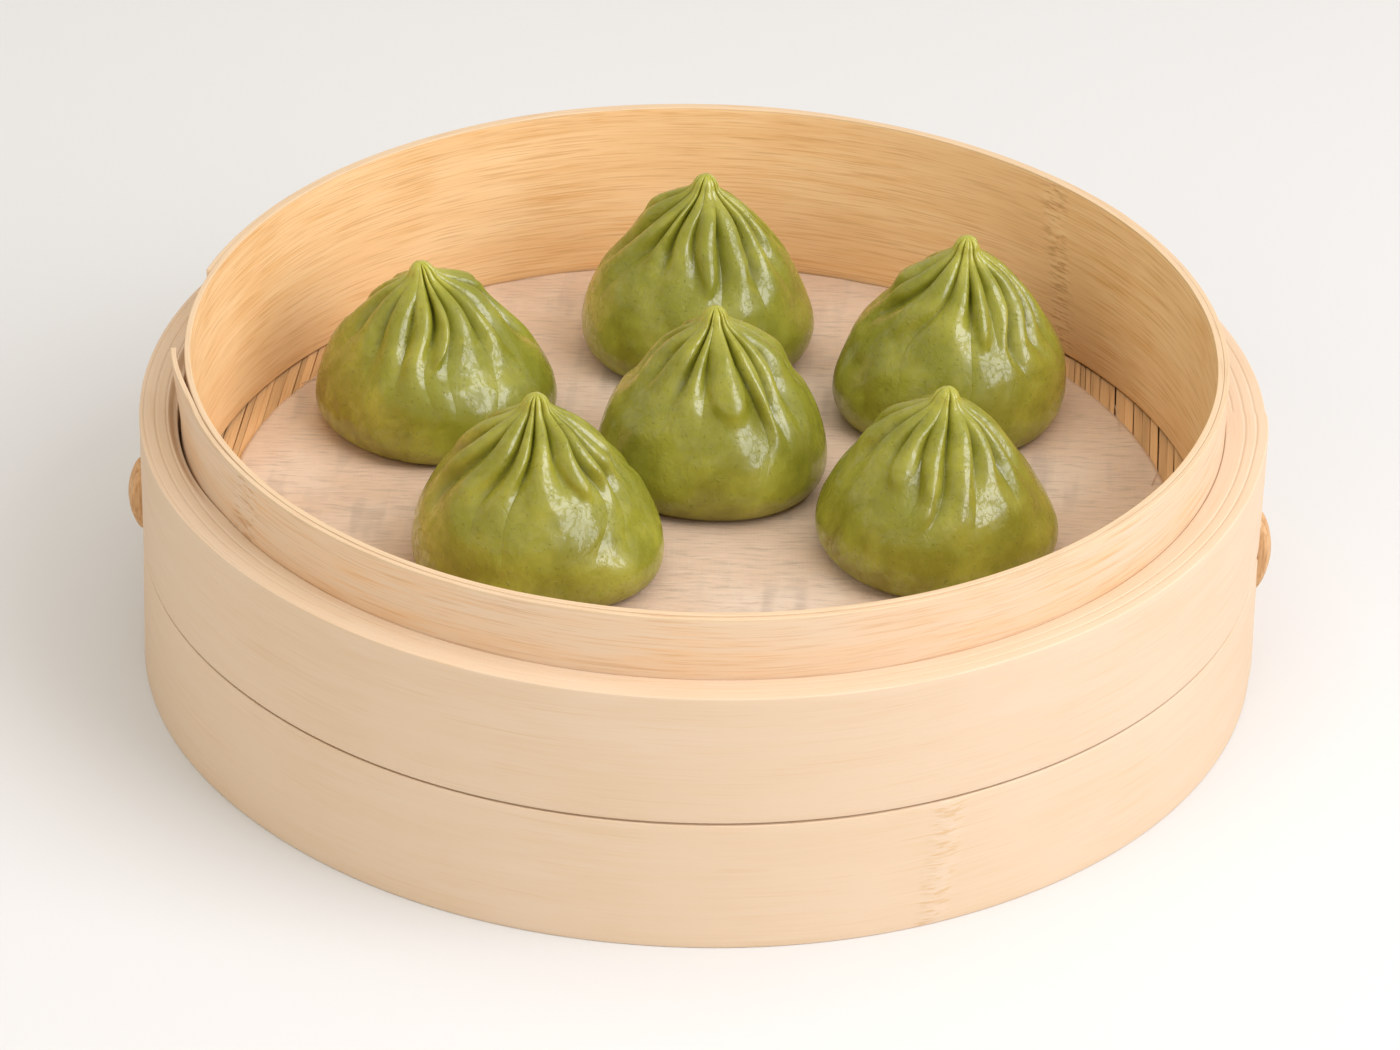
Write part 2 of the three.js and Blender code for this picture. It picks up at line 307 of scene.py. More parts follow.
# ---- shader expressions ------------
class Wire:
    """A shader socket that takes part in Python expressions, which add their own Math nodes."""

    def __init__(self, tree, socket=None):
        self.tree = tree
        self.socket = socket

    def node(self, kind, settings=None, sockets=None, output=0):
        """Adds a node: its settings first, then the value or the wire of each socket."""
        made = self.tree.nodes.new("ShaderNode" + kind)
        for name, value in (settings or {}).items():
            setattr(made, name, value)
        for key, value in (sockets or {}).items():
            if isinstance(value, Wire):
                self.tree.links.new(value.socket, made.inputs[key])
            else:
                made.inputs[key].default_value = value
        return Wire(self.tree, made.outputs[output])

    def maths(self, operation, *values):
        return self.node("Math", {"operation": operation}, dict(enumerate(values)))

    def __add__(self, other):
        return self.maths("ADD", self, other)

    def __sub__(self, other):
        return self.maths("SUBTRACT", self, other)

    def __mul__(self, other):
        return self.maths("MULTIPLY", self, other)

    def __truediv__(self, other):
        return self.maths("DIVIDE", self, other)

    def __pow__(self, other):
        return self.maths("POWER", self, other)

    def __rsub__(self, other):
        return self.maths("SUBTRACT", other, self)

    def __abs__(self):
        return self.maths("ABSOLUTE", self)

    __radd__ = __add__
    __rmul__ = __mul__

    def ramp(self, low, high):
        """0 below low, 1 above high and a smooth S between, or the other way round if high is lower."""
        sockets = {"Value": self, "From Min": low, "From Max": high}
        return self.node("MapRange", {"interpolation_type": "SMOOTHSTEP"}, sockets)

    def tint(self, none, full):
        """A colour between two colours, by this share."""
        settings = {"data_type": "RGBA", "clamp_factor": True}
        return self.node("Mix", settings, {0: self, 6: rgba(none), 7: rgba(full)}, output=2)

    def vector(self, x, y, z):
        return self.node("CombineXYZ", None, {"X": x, "Y": y, "Z": z})

    def crinkles(self, detail):
        """0 along wandering lines of this vector's noise, rising to both sides of them."""
        return abs(self.noise(1.0, detail) - 0.5)

    def noise(self, size=1.0, detail=2.0, roughness=0.5):
        """Soft noise from about 0.25 to 0.75 over this vector."""
        sockets = {"Vector": self, "Scale": size, "Detail": detail, "Roughness": roughness}
        return self.node("TexNoise", None, sockets)

    def bump(self, distance, strength=1.0):
        """A normal that leans as this height, in shares of distance, rises and falls."""
        return self.node("Bump", None, {"Strength": strength, "Distance": distance, "Height": self})


def rgba(value):
    """A colour socket's value: a wire as it is, or three numbers with a full fourth."""
    return value if isinstance(value, Wire) else (*value, 1.0)


def start_material(name, constants):
    """Starts a material: a wire of the place on the piece, and a function that plugs in the rest."""
    material = bpy.data.materials.new(name)
    material.use_nodes = True
    tree = material.node_tree
    shader = tree.nodes["Principled BSDF"]
    for socket, value in constants.items():
        shader.inputs[socket].default_value = value

    def finish(wires):
        for socket, wire in wires.items():
            tree.links.new(wire.socket, shader.inputs[socket])
        return material

    return Wire(tree).node("TexCoord", output="Object"), finish


def split(place):
    """The x, y and z wires of a vector wire, in millimetres."""
    return [place.node("SeparateXYZ", None, {0: place}, output=axis) / MM for axis in "XYZ"]


def turned_wires(x, y, turn):
    """Two wires turned about +Z: across and along a direction that is turned from +Y."""
    return x * math.cos(turn) + y * math.sin(turn), y * math.cos(turn) - x * math.sin(turn)


def attribute(place, title):
    """The wire of a named number that the mesh carries."""
    return place.node("Attribute", {"attribute_name": title}, output="Fac")


# ---- materials ------------
def bamboo(name, light, dark, streak, streaks, contrast, knots=(), rim=None, back=None):
    """Bent bamboo whose grain runs round the basket.

    Grain is noise that changes slowly along x and y and quickly along height plus distance from
    the axis, so it lies round walls and round rims alike. streaks and contrast are shares. knots
    are (angle, height, slope, reach) of the ragged marks that a node of the cane leaves across the
    strip. rim is the height from which the sawn edge shows and its colour. back is the oval and
    the radius outside which the strip's back shows and its colour. Lengths are in millimetres.
    """
    place, finish = start_material(name, {"IOR": 1.45, "Specular IOR Level": 0.32})
    x, y, z = split(place)
    climb = (x * x + y * y) ** 0.5 + z + place.noise(24.0, 2.0) * 1.8

    def grain(along, across, shift=0.0, detail=2.0):
        return place.vector(x / along + shift, y / along, climb / across).noise(1.0, detail)

    broad = grain(45, 5.0)
    bands = grain(26, 1.2, 7.0)
    fine = grain(12, 0.3, 3.0, 3.0)
    fibres = grain(5, 0.17, 11.0, 1.0)
    cloud = place.noise(28.0, 2.0)
    patch = place.noise(41.0, 3.0).ramp(0.38, 0.62)
    lines = bands.ramp(0.36, 0.66) * 0.3 + fine.ramp(0.38, 0.66) * 0.45
    tone = broad.ramp(0.35, 0.65) * 0.25 + lines * (patch * 0.6 + 0.4) + cloud.ramp(0.35, 0.7) * 0.2
    wood = (tone * contrast).tint(light, dark)
    brown = grain(22, 0.35, 19.0, 2.0).ramp(0.60, 0.72) * streaks
    specks = fibres.ramp(0.66, 0.76) * 0.07
    height = fine * 0.5 + fibres * 0.3 + bands * 0.3
    for angle, middle, slope, reach in knots:
        aside = y * math.cos(angle) - x * math.sin(angle) - (z - middle) * slope
        facing = (x * math.cos(angle) + y * math.sin(angle)).ramp(10.0, 30.0)
        near = (abs(aside) / reach).ramp(1.0, 0.3) * facing
        dashes = place.vector(x / 4.2, y / 4.2, climb / 0.6).noise(1.0, 2.5, 0.6)
        wood = (near * dashes.ramp(0.52, 0.62) * 0.5).tint(wood, streak)
        wood = (near * dashes.ramp(0.50, 0.40) * 0.9).tint(wood, light)
        height = height + near * dashes * 3.0
    if back is not None:
        radius = (x * x / (back[0] * back[0]) + y * y) ** 0.5
        wood = (radius.ramp(back[1] - 0.2, back[1]) * 0.8).tint(wood, back[2])
    wood = (brown + specks).tint(wood, streak)
    if rim is not None:
        wood = (z.ramp(rim[0] - 0.3, rim[0]) * 0.8).tint(wood, rim[1])
        wood = ((fine.ramp(0.5, 0.7) + brown) * 0.25).tint(wood, streak)
    return finish({
        "Base Color": wood,
        "Roughness": fine * 0.2 + 0.52,
        "Normal": height.bump(0.05 * MM, 0.7),
    })


def lath(name, light, streak, turn):
    """Straight split bamboo: the grain runs along the turned y axis, and each piece has its own tone."""
    place, finish = start_material(name, {"IOR": 1.45, "Specular IOR Level": 0.3})
    x, y, z = split(place)
    across, along = turned_wires(x, y, turn)
    tone = attribute(place, "tone")
    fine = place.vector(across / 0.3, along / 22, z / 0.3).noise(1.0, 3.0)
    bands = place.vector(across / 1.1, along / 40, z / 1.1).noise(1.0, 2.0)
    deep = [part * 0.55 for part in light]
    share_deep = tone * 0.5 + bands.ramp(0.35, 0.7) * 0.25 + fine.ramp(0.4, 0.7) * 0.2
    wood = share_deep.tint(light, deep)
    wood = (fine.ramp(0.62, 0.72) * 0.45).tint(wood, streak)
    return finish({
        "Base Color": wood,
        "Roughness": fine * 0.2 + 0.5,
        "Normal": (fine + bands * 0.6).bump(0.1 * MM, 0.8),
    })


def cane(name, light, streak):
    """Split cane: fine fibres along each strand, dark in its splits."""
    place, finish = start_material(name, {"IOR": 1.45, "Specular IOR Level": 0.35})
    tone = attribute(place, "tone")
    x, y, z = split(place)
    fibres = place.vector(x / 0.35, y / 0.35, z / 4.5).noise(1.0, 3.0)
    wood = (fibres.ramp(0.42, 0.7) * 0.5 + tone * 0.3).tint(light, streak)
    return finish({
        "Base Color": wood,
        "Roughness": fibres * 0.25 + 0.4,
        "Normal": fibres.bump(0.16 * MM, 0.9),
    })


def liner_cloth(name, settings, turn):
    """Thin cloth: weft threads run from side to side, grey bands of painted shade lie over the gaps of the
    floor, and the folds have painted shade in their hollows and painted light on their tops.
    """
    place, finish = start_material(name, {
        "IOR": 1.4, "Specular IOR Level": 0.12, "Sheen Weight": 0.15, "Sheen Roughness": 0.5,
        "Subsurface Weight": 0.08, "Subsurface Radius": (1.2 * MM, 0.8 * MM, 0.5 * MM),
        "Subsurface Scale": 1.0,
    })
    x, y, z = split(place)
    across, along = turned_wires(x, y, turn)
    weft = place.vector(x / 5.0, y / 0.32, z).noise(1.0, 3.0)
    warp = place.vector(x / 0.4, y / 6.0, z).noise(1.0, 2.0)
    ripple = place.vector(x / 9.0, y / 9.0, z).noise(1.0, 2.0)
    folds = place.vector(x / 7.0, y / 0.75 + ripple * 2.5, z).noise(1.0, 3.0, 0.65)
    bands = place.vector(across / 4.6, along / 34.0, z).noise(1.0, 1.0)
    cloud = place.noise(34.0, 3.0)
    # Painted shade: grey bands over the gaps between the floor splints.
    share_shade = bands.ramp(0.50, 0.68) * cloud.ramp(0.42, 0.66) * (folds * 0.5 + 0.2)
    fabric = cloud.ramp(0.45, 0.7).tint(settings.cloth, (0.70, 0.55, 0.42))
    fabric = share_shade.tint(fabric, settings.shade)
    # Painted shade in the hollows of the folds, with the weft threads' own darker lines.
    fabric = (folds.ramp(0.5, 0.7) * 0.5 + weft.ramp(0.5, 0.75) * 0.25).tint(fabric, settings.shade)
    # The warp threads' own lighter lines, with painted light on the tops of the folds.
    fabric = (warp.ramp(0.55, 0.8) * 0.2 + folds.ramp(0.46, 0.3) * 0.3).tint(fabric, (0.74, 0.61, 0.49))
    return finish({
        "Base Color": fabric,
        "Roughness": weft * 0.1 + 0.85,
        "Normal": (weft * 0.5 + warp * 0.3 - folds * 1.2).bump(0.16 * MM, 1.0),
    })


def dough(name, settings, seed):
    """Wet steamed dough: mottled green with crinkled gloss, painted shade in the creases and round the foot,
    brownish low down on the side away from the key light, which is partly painted shade, and painted light
    low on the body.
    """
    place, finish = start_material(name, {
        "IOR": 1.42, "Specular IOR Level": 0.6, "Coat Roughness": 0.12, "Coat IOR": 1.55,
        "Subsurface Weight": 0.45, "Subsurface Radius": (2.6 * MM, 2.3 * MM, 0.6 * MM),
        "Subsurface Scale": 1.0,
    })
    x, y, z = split(place)
    crease = attribute(place, "crease")
    level = attribute(place, "level")
    side = attribute(place, "side")
    own = place.vector(x + 37.0 * seed, y - 23.0 * seed, z)
    cloud = own.noise(0.11, 3.0, 0.55)
    mottle = own.noise(0.55, 3.0, 0.6)
    crumple = own.vector(x * 0.36 + cloud * 3.0, y * 0.36 + mottle * 1.6, z * 0.26).crinkles(1.2)
    finer = own.vector(x * 0.62 + 11.0 * seed, y * 0.62, z * 0.42 + cloud * 4.0).crinkles(0.6)
    calm = own.noise(0.16, 2.0).ramp(0.38, 0.62) * 0.8 + 0.2
    beads = own.noise(1.5, 0.0).ramp(0.74, 0.80)
    thin = cloud.ramp(0.38, 0.74) * 0.5 + mottle.ramp(0.45, 0.75) * 0.1
    green = thin.tint(settings.skin, settings.light)
    # Brownish dough low down on the side away from the key light: partly real colour, partly painted shade.
    green = (level.ramp(0.5, 0.1) * cloud.ramp(0.55, 0.38) * side * 0.75).tint(green, settings.brown)
    # Painted light: the lower body is lightened.
    green = (level.ramp(0.40, 0.12) * cloud.ramp(0.3, 0.6) * 0.3).tint(green, settings.light)
    # Painted shade in the creases, by their depth.
    green = (crease.ramp(0.25, 1.0) * 0.5).tint(green, settings.deep)
    green = (level.ramp(0.84, 0.97) * 0.8).tint(green, settings.nib)
    # Painted shade round the foot, where it meets the cloth.
    green = (level.ramp(0.05, 0.0) * 0.6).tint(green, settings.deep)
    lumps = own.noise(0.3, 0.0)
    crinkled = crumple.ramp(0.004, 0.06) * finer.ramp(0.0, 0.055) * 0.92 + 0.08
    wet = crinkled * (cloud.ramp(0.34, 0.6) * 0.4 + 0.6) * level.ramp(0.0, 0.2)
    creased = (crumple.ramp(0.0, 0.14) + finer.ramp(0.0, 0.12) * 0.5) * calm
    return finish({
        "Base Color": green,
        "Roughness": mottle * 0.16 + 0.32,
        "Coat Weight": wet,
        "Normal": (creased * 0.9 + lumps * 8.0 + beads * 3.0).bump(0.04 * MM, 1.0),
    })


# ---- the basket ------------
SLAT_TURN = math.radians(-4.2)
NODES_OF_FLOOR = sorted(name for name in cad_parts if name.startswith("slat_"))
RING_COLUMNS = 720
GROOVE_WIDTH = 0.13 * MM  # half width of the line between two windings
SUNK_WIDTH, SUNK_DEPTH = 1.3 * MM, 1.7 * MM  # the upper wall's sunk inner edge, on the left
END_RISE = 0.35 * MM  # how far the cut end of a wound strip stands out
KNOT_WIDTH, KNOT_RISE = 2.2 * MM, 0.22 * MM  # the ridge that a node of the cane leaves
MOST_SPLINTS = 150
STRANDS = [0.84, 1.0, 0.93, 0.78]  # how far each strand of a lashing reaches, of the longest
STRAND_PITCH = 1.55 * MM
STRAND_WIDTH, STRAND_DEPTH = 0.95 * MM, 1.4 * MM  # half widths of a strand, along and out of the wall


def ring_points(outline, inner, outer, low, high):
    """Radius and height of a bar bent round the axis: its outline is spread between four sizes.

    Each size is one number, or a column of numbers over the angle.
    """
    wide, tall, aside, upward = outline
    return inner + wide * (outer - inner) + aside, low + tall * (high - low) + upward


def placed(angle, radius, height, oval=1.0):
    """Cylinder coordinates as x, y and z, with x squeezed by oval."""
    x, y = oval * radius * np.cos(angle), radius * np.sin(angle)
    return np.stack(np.broadcast_arrays(x, y, height), -1)


def lip_reach(angle):
    """Distance from the axis to the outside of the lip, an ellipse over the angle."""
    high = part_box("outer_ply")[1]
    return 1 / np.sqrt((np.cos(angle) / high.x) ** 2 + (np.sin(angle) / high.y) ** 2)


def hoop(name, node, settings, material, knots, wound):
    """A wall wound from one long strip.

    The wall's radius and height wander with slow waves. On the rim a groove runs along the spiral
    between the windings, radius = inner + winding x (turns + share of a turn), and on the outside
    the strip's cut end stands a little proud with a ragged edge. The wound wall bears on the lip
    except on the left, where its inner edge is sunk. A knot is a low ridge.
    """
    inner, outer, low, high = ring_size(node)
    angle = angles(RING_COLUMNS)
    inside, top = inner, high - 0.1 * MM
    loose = smoothstep(-np.cos(angle + 0.08), 0.82, 0.97)
    if wound:
        top = top + 0.5 * settings.wander * waves(angle, 15, 2, 14)
        inside = lip_reach(angle) + (0.06 + 0.5 * loose) * MM
    outside = outer + settings.wander * waves(angle, 3 + len(name), 2, 9)
    outline = rounded_outline(settings.edge, 44, 16)
    radius, height = ring_points(outline, inside, outside, low, top)
    wide, tall = outline[:2]
    if not wound:
        radius = radius - (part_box(node)[1].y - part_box("upper_hoop")[1].y) * wide * tall
    degrees = np.degrees(angle)
    clear = 0.35 + 0.65 * smoothstep(np.abs(np.cos(angle)), 0.45, 0.8)
    for winding in range(4):
        groove = inner + settings.winding * (winding + degrees / 360)
        near = bell(radius - groove, GROOVE_WIDTH) * (radius < outer - 0.3 * MM)
        height = height - settings.winding_groove * near * (tall > 0.5) * clear
    if wound:
        height = height - SUNK_DEPTH * bell(radius - inside, SUNK_WIDTH, 4) * loose * (tall > 0.5)
    skin = wide * smoothstep(tall, 0.0, 0.04)
    ragged = 0.5 + 0.5 * np.sin(height / (0.9 * MM) + 2 * np.sin(height / (2.3 * MM)))
    scarf = smoothstep(degrees + 1.2 * ragged, 350, 356) * (1 - smoothstep(degrees, 359, 360))
    radius = radius + skin * END_RISE * scarf
    for knot, middle, slope, _reach in knots:
        aside = turn_between(angle, knot) * outer - (height - middle * MM) * slope
        radius = radius + skin * KNOT_RISE * bell(aside, KNOT_WIDTH)
    return add_ring(name, placed(angle, radius, height), [node], "outer_bamboo", material)


def lip_inner(settings, material):
    """The lip's whole inner strip: a thin upright ring, slightly oval, with an uneven sawn top."""
    inner, outer, low, high, oval = lip_size()
    angle = angles(RING_COLUMNS)
    top = high - 0.15 * MM + 0.14 * MM * waves(angle, 21, 2, 16)
    outline = rounded_outline(settings.ply_edge, 6, 34)
    wall = inner + 0.12 * MM * waves(angle, 23, 3, 24)
    grid = placed(angle, *ring_points(outline, wall, outer + 0.2 * MM, low, top), oval)
    return add_ring("lip_inner_strip", grid, ["inner_ply"], "inner_bamboo", material)


def lip_outer(settings, material, start, end):
    """The lip's outer strip: an open thin ring whose left end springs away from the inner strip."""
    _, outer, low, high, oval = lip_size()
    angle = np.linspace(start, end, RING_COLUMNS)[:, None]
    top = high - 0.3 * MM + 0.22 * MM * waves(angle, 31, 2, 18)
    outline = rounded_outline(settings.ply_edge, 6, 30)
    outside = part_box("outer_ply")[1].y
    radius, height = ring_points(outline, outer + 0.23 * MM, outside, low, top)
    sprung = settings.splay * (1 - smoothstep(angle - start, 0, 0.24))
    free = smoothstep(height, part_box("upper_hoop")[1].z - 1.5 * MM, high)
    grid = placed(angle, radius + sprung * free, height, oval)[None]
    return add_bars("lip_outer_strip", grid, ["outer_ply"], "outer_bamboo", material)


def ledge_ring(settings, material):
    """The ring that carries the floor bars: a rounded strip with wandering edges."""
    inner, outer, low, high = ring_size("ledge_ring")
    angle = angles(RING_COLUMNS // 2)
    wall = inner + 0.25 * MM * waves(angle, 41, 2, 12)
    foot = low + 0.2 * MM * waves(angle, 43, 2, 12)
    outline = rounded_outline(settings.edge, 6, 8)
    grid = placed(angle, *ring_points(outline, wall, outer, foot, high))
    return add_ring("floor_ledge", grid, ["ledge_ring"], "floor_bamboo", material)


def turned(grid, turn):
    """Points turned about +Z."""
    cos, sin = math.cos(turn), math.sin(turn)
    x, y, z = np.moveaxis(grid, -1, 0)
    return np.stack([x * cos - y * sin, x * sin + y * cos, z], -1)


def floor_splints(settings, material):
    """Uneven split laths side by side, cut to the round of the basket.

    Each lath is a rounded bar along y. Its half length is the square root of the round's radius
    squared less its own offset squared, and its sides waver along it.
    """
    rng = np.random.default_rng(12)
    boxes = [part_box(node) for node in NODES_OF_FLOOR]
    low, high = boxes[0][0].z, boxes[0][1].z
    reach = max(box[1].y for box in boxes) - 0.2 * MM
    widths = rng.uniform(settings.splint_least, settings.splint_most, MOST_SPLINTS)
    gaps = settings.splint_gap * rng.uniform(0.2, 2.2, MOST_SPLINTS)
    edges = np.cumsum(widths + gaps) - reach
    kept = edges < reach
    right, left = edges[kept][:, None, None], (edges - widths)[kept][:, None, None]
    along = np.linspace(-1, 1, 40)[None, :, None]

    def each(least, most):
        return rng.uniform(least, most, right.shape)

    wide, tall, aside, upward = rounded_outline(0.11 * MM, 4, 2, 3)
    waver = 0.10 * MM * np.sin(along * each(2, 6) + each(0, TURN))
    lift = 0.25 * MM * each(0, 1)
    x = left + wide * (right - left) + aside + waver
    z = low + tall * (high - low - lift) + upward + 0 * x
    end = np.sqrt(np.maximum(reach ** 2 - x ** 2, (8 * MM) ** 2))
    y = along * (end - 0.7 * MM * each(0, 1))
    grid = turned(np.stack([x, y, z], -1), SLAT_TURN)
    tone = np.broadcast_to(each(0, 1), x.shape)
    return add_bars("floor_splints", grid, NODES_OF_FLOOR, "floor_bamboo", material, {"tone": tone})


def floor_bars(settings, material):
    """The two cross bars under the splints: rounded bars along x, cut to the round of the ledge."""
    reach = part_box("ledge_ring")[1].y
    for number, node in enumerate(["batten_front", "batten_back"]):
        points = turned(node_points(node), -SLAT_TURN)
        near, far = points[:, 1].min(), points[:, 1].max()
        low, high = points[:, 2].min(), points[:, 2].max()
        wide, tall, aside, upward = rounded_outline(settings.edge, 10, 3)
        along = np.linspace(-1, 1, 90)[:, None]
        waver = 0.3 * MM * np.sin(4 * along + number)
        y = far - wide * (far - near) - aside + waver
        x = along * np.sqrt(reach ** 2 - y ** 2)
        uneven = 0.12 * MM * (np.sin(9 * along + 2 * wide) - 1)
        z = low + tall * (high - low + uneven) + upward
        grid = turned(np.stack([x, y, z], -1), SLAT_TURN)[None]
        tone = np.full(x.shape, 0.3 + 0.3 * number)
        name = node.replace("batten", "floor_bar")
        add_bars(name, grid, [node], "floor_bamboo", material, {"tone": tone})


def lashing(name, node, material, seed):
    """Four strands of split cane, side by side, bowed out of the wall.

    A strand is a rounded ribbon along a bow: its distance from the axis is foot + bulge x a power
    of the sine of the share of its length, and its two sides tuck in towards both ends.
    """
    rng = np.random.default_rng(seed)
    low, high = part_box(node)
    middle = (low + high) / 2
    around = math.atan2(middle.y, middle.x)
    points = node_points(node)
    radii = np.hypot(points[:, 0], points[:, 1])
    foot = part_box("upper_hoop")[1].y - 0.4 * MM
    bulge = radii.max() - foot - 1.5 * MM
    half = (high.z - low.z) / 2
    part = np.linspace(0, 1, 64)[:, None]
    ring = np.linspace(0, TURN, 28, endpoint=False)
    grids = []
    bow = np.sin(math.pi * part) ** 0.7
    tuck = 0.65 + 0.35 * bow
    for strand, reach in enumerate(STRANDS):
        lean = rng.uniform(-0.4, 0.4) * MM * (2 * part - 1)
        thick = tuck * (1 + 0.08 * np.cos(5 * ring + strand) * bow)
        aside = (strand - 1.5) * STRAND_PITCH * tuck + lean + STRAND_WIDTH * thick * np.cos(ring)
        out = foot + bulge * bow * reach + STRAND_DEPTH * thick * np.sin(ring)
        up = middle.z + 0.95 * half * reach * (2 * part - 1) + 0 * ring
        grids.append(np.stack([out, aside, up], -1))
    grid = turned(np.stack(grids), around)
    tone = np.broadcast_to(rng.uniform(0, 1, (len(STRANDS), 1, 1)), grid.shape[:3])
    return add_bars(name, grid, [node], "cane", material, {"tone": tone})


# ---- the liner ------------
EDGE_POINTS = 540
WRINKLES = 14
THREAD = 0.09 * MM  # radius of a loose thread
# Where each loose thread lies round the edge, in radians, and its length in millimetres.
THREADS = [(0.42, 9.0), (0.16, 5.0), (-2.5, 4.5), (2.62, 6.0), (3.9, 4.0), (5.2, 5.5)]


def cloth_liner(settings, material):
    """A thin cloth disc that runs out to the wall at the back.

    Rings of points go from the middle of the underside out to the edge and back over the top. The
    edge strays by short waves, and the top is the sum of long wrinkles that run from side to side.
    """
    rng = np.random.default_rng(8)
    points = node_points("liner")
    low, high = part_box("liner")
    angle = angles(EDGE_POINTS)
    known = np.arctan2(points[:, 1], points[:, 0]) % TURN
    radii = np.hypot(points[:, 0], points[:, 1])
    order = np.argsort(known)
    edge = np.interp(angle, known[order], radii[order], period=TURN)
    backward = smoothstep(edge, 92 * MM, 95 * MM)
    strays = waves(angle, 51, 5, 60) + 0.5 * waves(angle, 52, 90, 200)
    edge = edge + settings.fray * strays * (1 - backward) + 0.7 * MM * backward
    out = np.linspace(0.004, 1, 30)
    back = np.linspace(1, 0.004, 116)
    shares = np.concatenate([out, back])
    top = np.concatenate([np.zeros_like(out), np.ones_like(back)])
    top[len(out)] = 0.6
    radius = edge * shares
    x, y = radius * np.cos(angle), radius * np.sin(angle)
    relief = np.zeros_like(x)
    for _ in range(WRINKLES):
        wave, drift, phase = rng.uniform(2.6, 9), rng.uniform(9, 30), rng.uniform(0, TURN, 2)
        bend = 1.6 * np.sin(x / (drift * MM) + phase[0])
        relief += np.sin(TURN * y / (wave * MM) + bend + phase[1]) / WRINKLES ** 0.5
    lifted = settings.wrinkle * relief * (0.4 + 0.6 * smoothstep(radius, 0, 40 * MM))
    height = low.z + (high.z - low.z) * top + lifted * top
    points, polygons = closed_skin(np.stack([x, y, height], -1))
    piece = add_piece("liner_cloth", points, polygons, ["liner"], "cloth", material)
    rim_x, rim_y = x[:, len(out)], y[:, len(out)]
    area = abs((rim_x * np.roll(rim_y, -1) - np.roll(rim_x, -1) * rim_y).sum()) / 2
    return piece, (float(np.ptp(rim_x)), float(np.ptp(rim_y))), area


def loose_threads(material):
    """Short threads that have worked loose at the liner's edge: thin tubes along shallow arcs."""
    rng = np.random.default_rng(77)
    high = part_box("liner")[1]
    part = np.linspace(0, 1, 16)[:, None]
    ring = np.linspace(0, TURN, 8, endpoint=False)
    grids = []
    for turn, reach in THREADS:
        bend = rng.uniform(-2, 2)
        aside = (part - 0.5) * reach * MM + bend * MM * part ** 2
        out = high.x - 2.5 * MM + part * reach * 0.45 * MM + THREAD * np.cos(ring)
        up = high.z + (0.12 + 0.25 * np.sin(math.pi * part)) * MM + THREAD * np.sin(ring)
        grids.append(turned(np.stack([out, aside + 0 * ring, up], -1), turn))
    return add_bars("liner_threads", np.stack(grids), [], "cloth", material)


# ---- the dumplings ------------
# For each one: the seed of its unevenness, its number of pleats, the side on which the skin flares
# out and how far, its shoulder (side, share of the height and how far), and its flap (side and
# share of the height at which it ends). Sides are in degrees and lengths in millimetres.
DUMPLINGS = {
    "dumpling_back": (4, 15, -14, 1.5, (150, 0.80, 1.5), (-84, 0.50)),
    "dumpling_left": (9, 14, 8, 0.5, (35, 0.82, 2.2), (-72, 0.55)),
    "dumpling_centre": (14, 14, -160, 0.4, (10, 0.72, 0.9), (-97, 0.52)),
    "dumpling_right": (25, 15, -165, 1.4, (165, 0.74, 1.3), (-70, 0.55)),
    "dumpling_front_left": (31, 15, -22, 2.1, (-10, 0.70, 1.0), (-62, 0.56)),
    "dumpling_front_right": (42, 14, -14, 1.6, (160, 0.78, 1.1), (-120, 0.55)),
}
BELLY = 0.15  # share of the height at which a dumpling is widest
FOOT_RATIO = 0.78  # radius of its flat foot, of its widest radius
SHOULDER = 1.75  # how full the shoulders are
PINCH = 0.36  # how far the neck under the nib is drawn in
BROAD_SIDE = math.radians(175)  # side with the broader pleats
CLOSING_PLEATS = 0.45  # share of the pleats that close near the tip
ACROSS = 28  # grid columns across one pleat
FOOT_ROWS, UPPER_ROWS = 18, 150  # grid rows from the foot to the belly, and from there to the tip
FOOT_RINGS = 8  # rings of points under the flat foot
BULGES, SMALL_STEPS = 10, 7  # soft bulges and hollows in a body, and small steps in its shoulders
PRESSED = 0.25 * MM  # how far the foot is pressed into the cloth
POLE_RADIUS = 0.12 * MM  # radius of the last ring of points at the tip


def pleat_plan(count, flap_side, flap_end, rng):
    """The pleats of one dumpling, each from one crease to the next, as one number for each pleat.

    They are the angle at which it starts, the height of its crest and the depth of its crease, the
    share of the height at which it ends and how softly, how far its crest sits to one side and how
    round it is, whether it is a flap, and whether it closes with its neighbour near the tip.
    """
    widths = np.exp(rng.normal(0, 0.22, count))
    middles = np.cumsum(widths) / widths.sum() * TURN
    widths *= 1 + 0.24 * np.cos(middles - BROAD_SIDE)
    starts = np.cumsum(widths) / widths.sum() * TURN
    plan = {
        "start": starts,
        "crest": rng.uniform(0.55, 1.2, count),
        "crease": rng.uniform(0.55, 1.2, count),
        "end": rng.uniform(0.36, 0.54, count),
        "soft": rng.uniform(0.20, 0.38, count),
        "skew": rng.uniform(0.65, 1.5, count),
        "round": rng.uniform(0.75, 1.2, count),
        "flap": np.zeros(count),
        "closed": rng.permutation(count) < count * CLOSING_PLEATS,
    }
    middles = starts + 0.5 * np.diff(np.append(starts, starts[0] + TURN))
    nearest = np.argmin(np.abs(turn_between(middles, math.radians(flap_side) - 0.2)))
    plan["flap"][nearest], plan["end"][nearest], plan["soft"][nearest] = 1.0, flap_end, 0.12
    return plan


